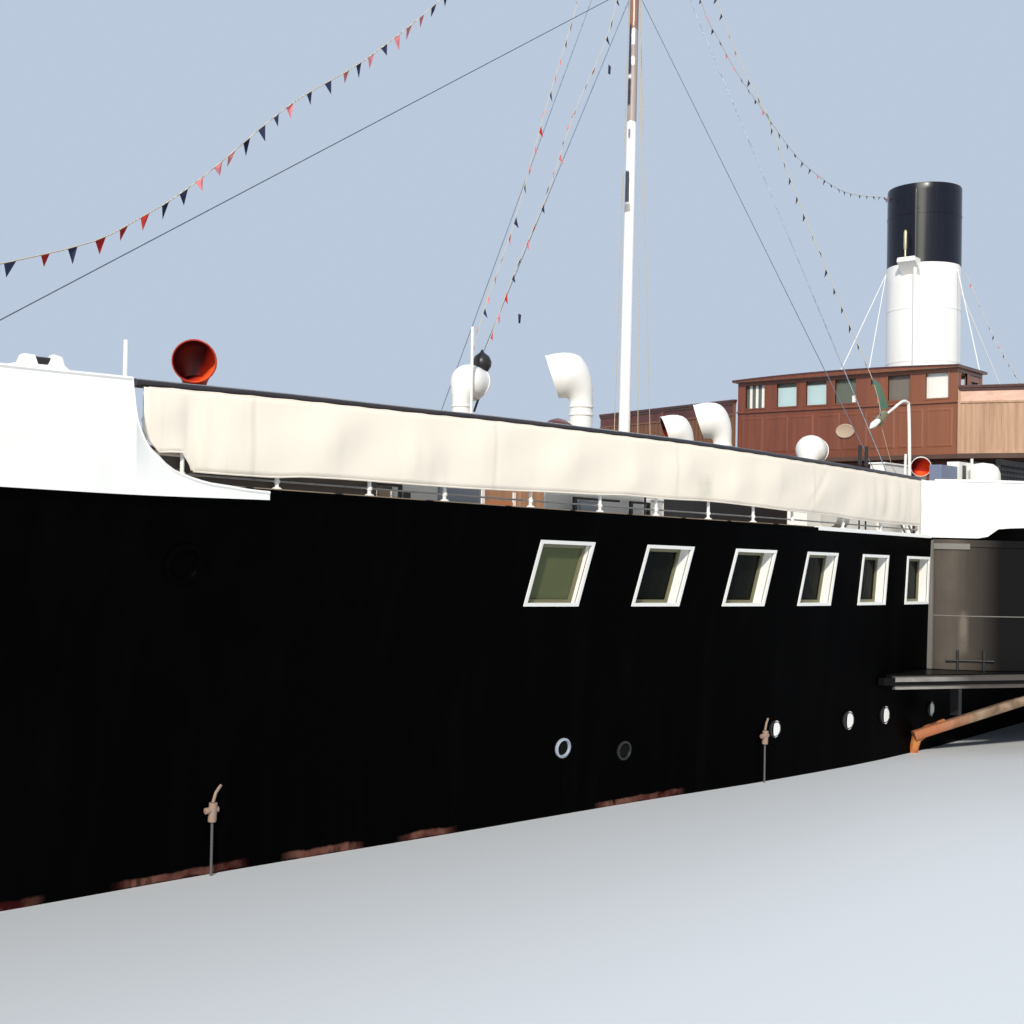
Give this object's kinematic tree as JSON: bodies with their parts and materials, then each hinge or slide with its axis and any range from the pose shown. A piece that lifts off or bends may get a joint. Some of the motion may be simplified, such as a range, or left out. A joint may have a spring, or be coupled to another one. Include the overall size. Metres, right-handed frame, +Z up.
{
  "type": "side paddle steamer ferry, half-size model",
  "caption": "Side-wheel paddle steamer ferry at half size: black hull with sponsons and paddle boxes, turning wheels, wooden bridge, funnel and tall mast.",
  "frame": {"origin": "on the centreline amidships, at the waterline, halfway between stem and stern", "axes": "+X ahead to the bow, +Y to port, +Z up; the water's surface is z = 0"},
  "size_m": [31.9528, 8.65, 10.9504],
  "materials": {
    "hull_paint": "gloss black, weathered",
    "white_paint": "satin white",
    "red_paint": "satin red",
    "deck_planks": "worn planks with dark seams",
    "varnished_wood": "red-brown varnish",
    "plain_timber": "oiled boards",
    "canvas": "cream canvas",
    "glass": "clear",
    "wire": "galvanised wire",
    "black_iron": "black enamel"
  },
  "bodies": {
    "ship": {"hull": "hull_paint", "forecastle_bulwark": "white_paint", "sponson_bulwark_port": "white_paint", "sponson_bulwark_starboard": "white_paint", "sponson_port": "hull_paint", "sponson_starboard": "hull_paint", "promenade_deck": "deck_planks", "sponson_strut_port": "plain_timber", "sponson_strut_starboard": "plain_timber", "fore_rail_port": "varnished_wood", "fore_rail_starboard": "varnished_wood", "dodger_port": "canvas", "dodger_starboard": "canvas", "after_rail": "varnished_wood", "deckhouse": "varnished_wood", "bridge_deck": "deck_planks", "wing_screen_port": "plain_timber", "wing_screen_starboard": "plain_timber", "wheelhouse": "varnished_wood", "wheelhouse_glass": "glass", "wheelhouse_roof": "white_paint", "helm_pedestal": "varnished_wood", "helm_wheel": "varnished_wood", "funnel": "white_paint", "mast": "plain_timber", "rigging": "wire", "rigging_upper": "wire", "boiler_casing": "black_iron", "vent_forecastle": "red_paint", "vent_fore": "white_paint", "vent_tall": "white_paint", "vent_middle": "white_paint", "vent_after": "white_paint", "vent_bridge": "white_paint", "vent_port": "white_paint", "windlass": "black_iron", "skylight": "varnished_wood", "companion": "white_paint", "lifeboat_port": "canvas", "lifeboat_starboard": "canvas", "davit_port": "white_paint", "davit_starboard": "white_paint", "fore_companion": "varnished_wood", "fore_hatch": "white_paint", "bench_fore": "varnished_wood", "bench_after": "varnished_wood"},
    "rudder": {"rudder": "hull_paint"},
    "paddle_wheel_port": {"paddle_wheel_port": "red_paint"},
    "paddle_wheel_starboard": {"paddle_wheel_starboard": "red_paint"},
    "deckhouse_door_port": {"deckhouse_door_port": "varnished_wood"},
    "deckhouse_door_starboard": {"deckhouse_door_starboard": "varnished_wood"},
    "wheelhouse_door_port": {"wheelhouse_door_port": "varnished_wood"},
    "wheelhouse_door_starboard": {"wheelhouse_door_starboard": "varnished_wood"}
  },
  "joints": [
    {"name": "paddle_port_turn", "type": "hinge", "parent": "ship", "child": "paddle_wheel_port", "pos_m": [-1.5, 2.95, 0.875], "axis": [0, 1, 0], "continuous": true},
    {"name": "paddle_starboard_turn", "type": "hinge", "parent": "ship", "child": "paddle_wheel_starboard", "pos_m": [-1.5, -2.95, 0.875], "axis": [0, 1, 0], "continuous": true},
    {"name": "rudder_turn", "type": "hinge", "parent": "ship", "child": "rudder", "pos_m": [-14.3, 0, -0.2], "axis": [0, 0, 1], "range_deg": [-35, 35]},
    {"name": "deckhouse_door_port_swing", "type": "hinge", "parent": "ship", "child": "deckhouse_door_port", "pos_m": [-3.8, 1.46235, 2.25], "axis": [0, 0, 1], "range_deg": [0, 95]},
    {"name": "deckhouse_door_starboard_swing", "type": "hinge", "parent": "ship", "child": "deckhouse_door_starboard", "pos_m": [-3.8, -1.46235, 2.25], "axis": [0, 0, -1], "range_deg": [0, 95]},
    {"name": "wheelhouse_door_port_swing", "type": "hinge", "parent": "ship", "child": "wheelhouse_door_port", "pos_m": [-0.54, 1.43235, 3.3], "axis": [0, 0, 1], "range_deg": [0, 95]},
    {"name": "wheelhouse_door_starboard_swing", "type": "hinge", "parent": "ship", "child": "wheelhouse_door_starboard", "pos_m": [-0.54, -1.43235, 3.3], "axis": [0, 0, -1], "range_deg": [0, 95]}
  ],
  "couplings": [
    {"joint": "paddle_starboard_turn", "follows": "paddle_port_turn", "ratio": 1}
  ]
}
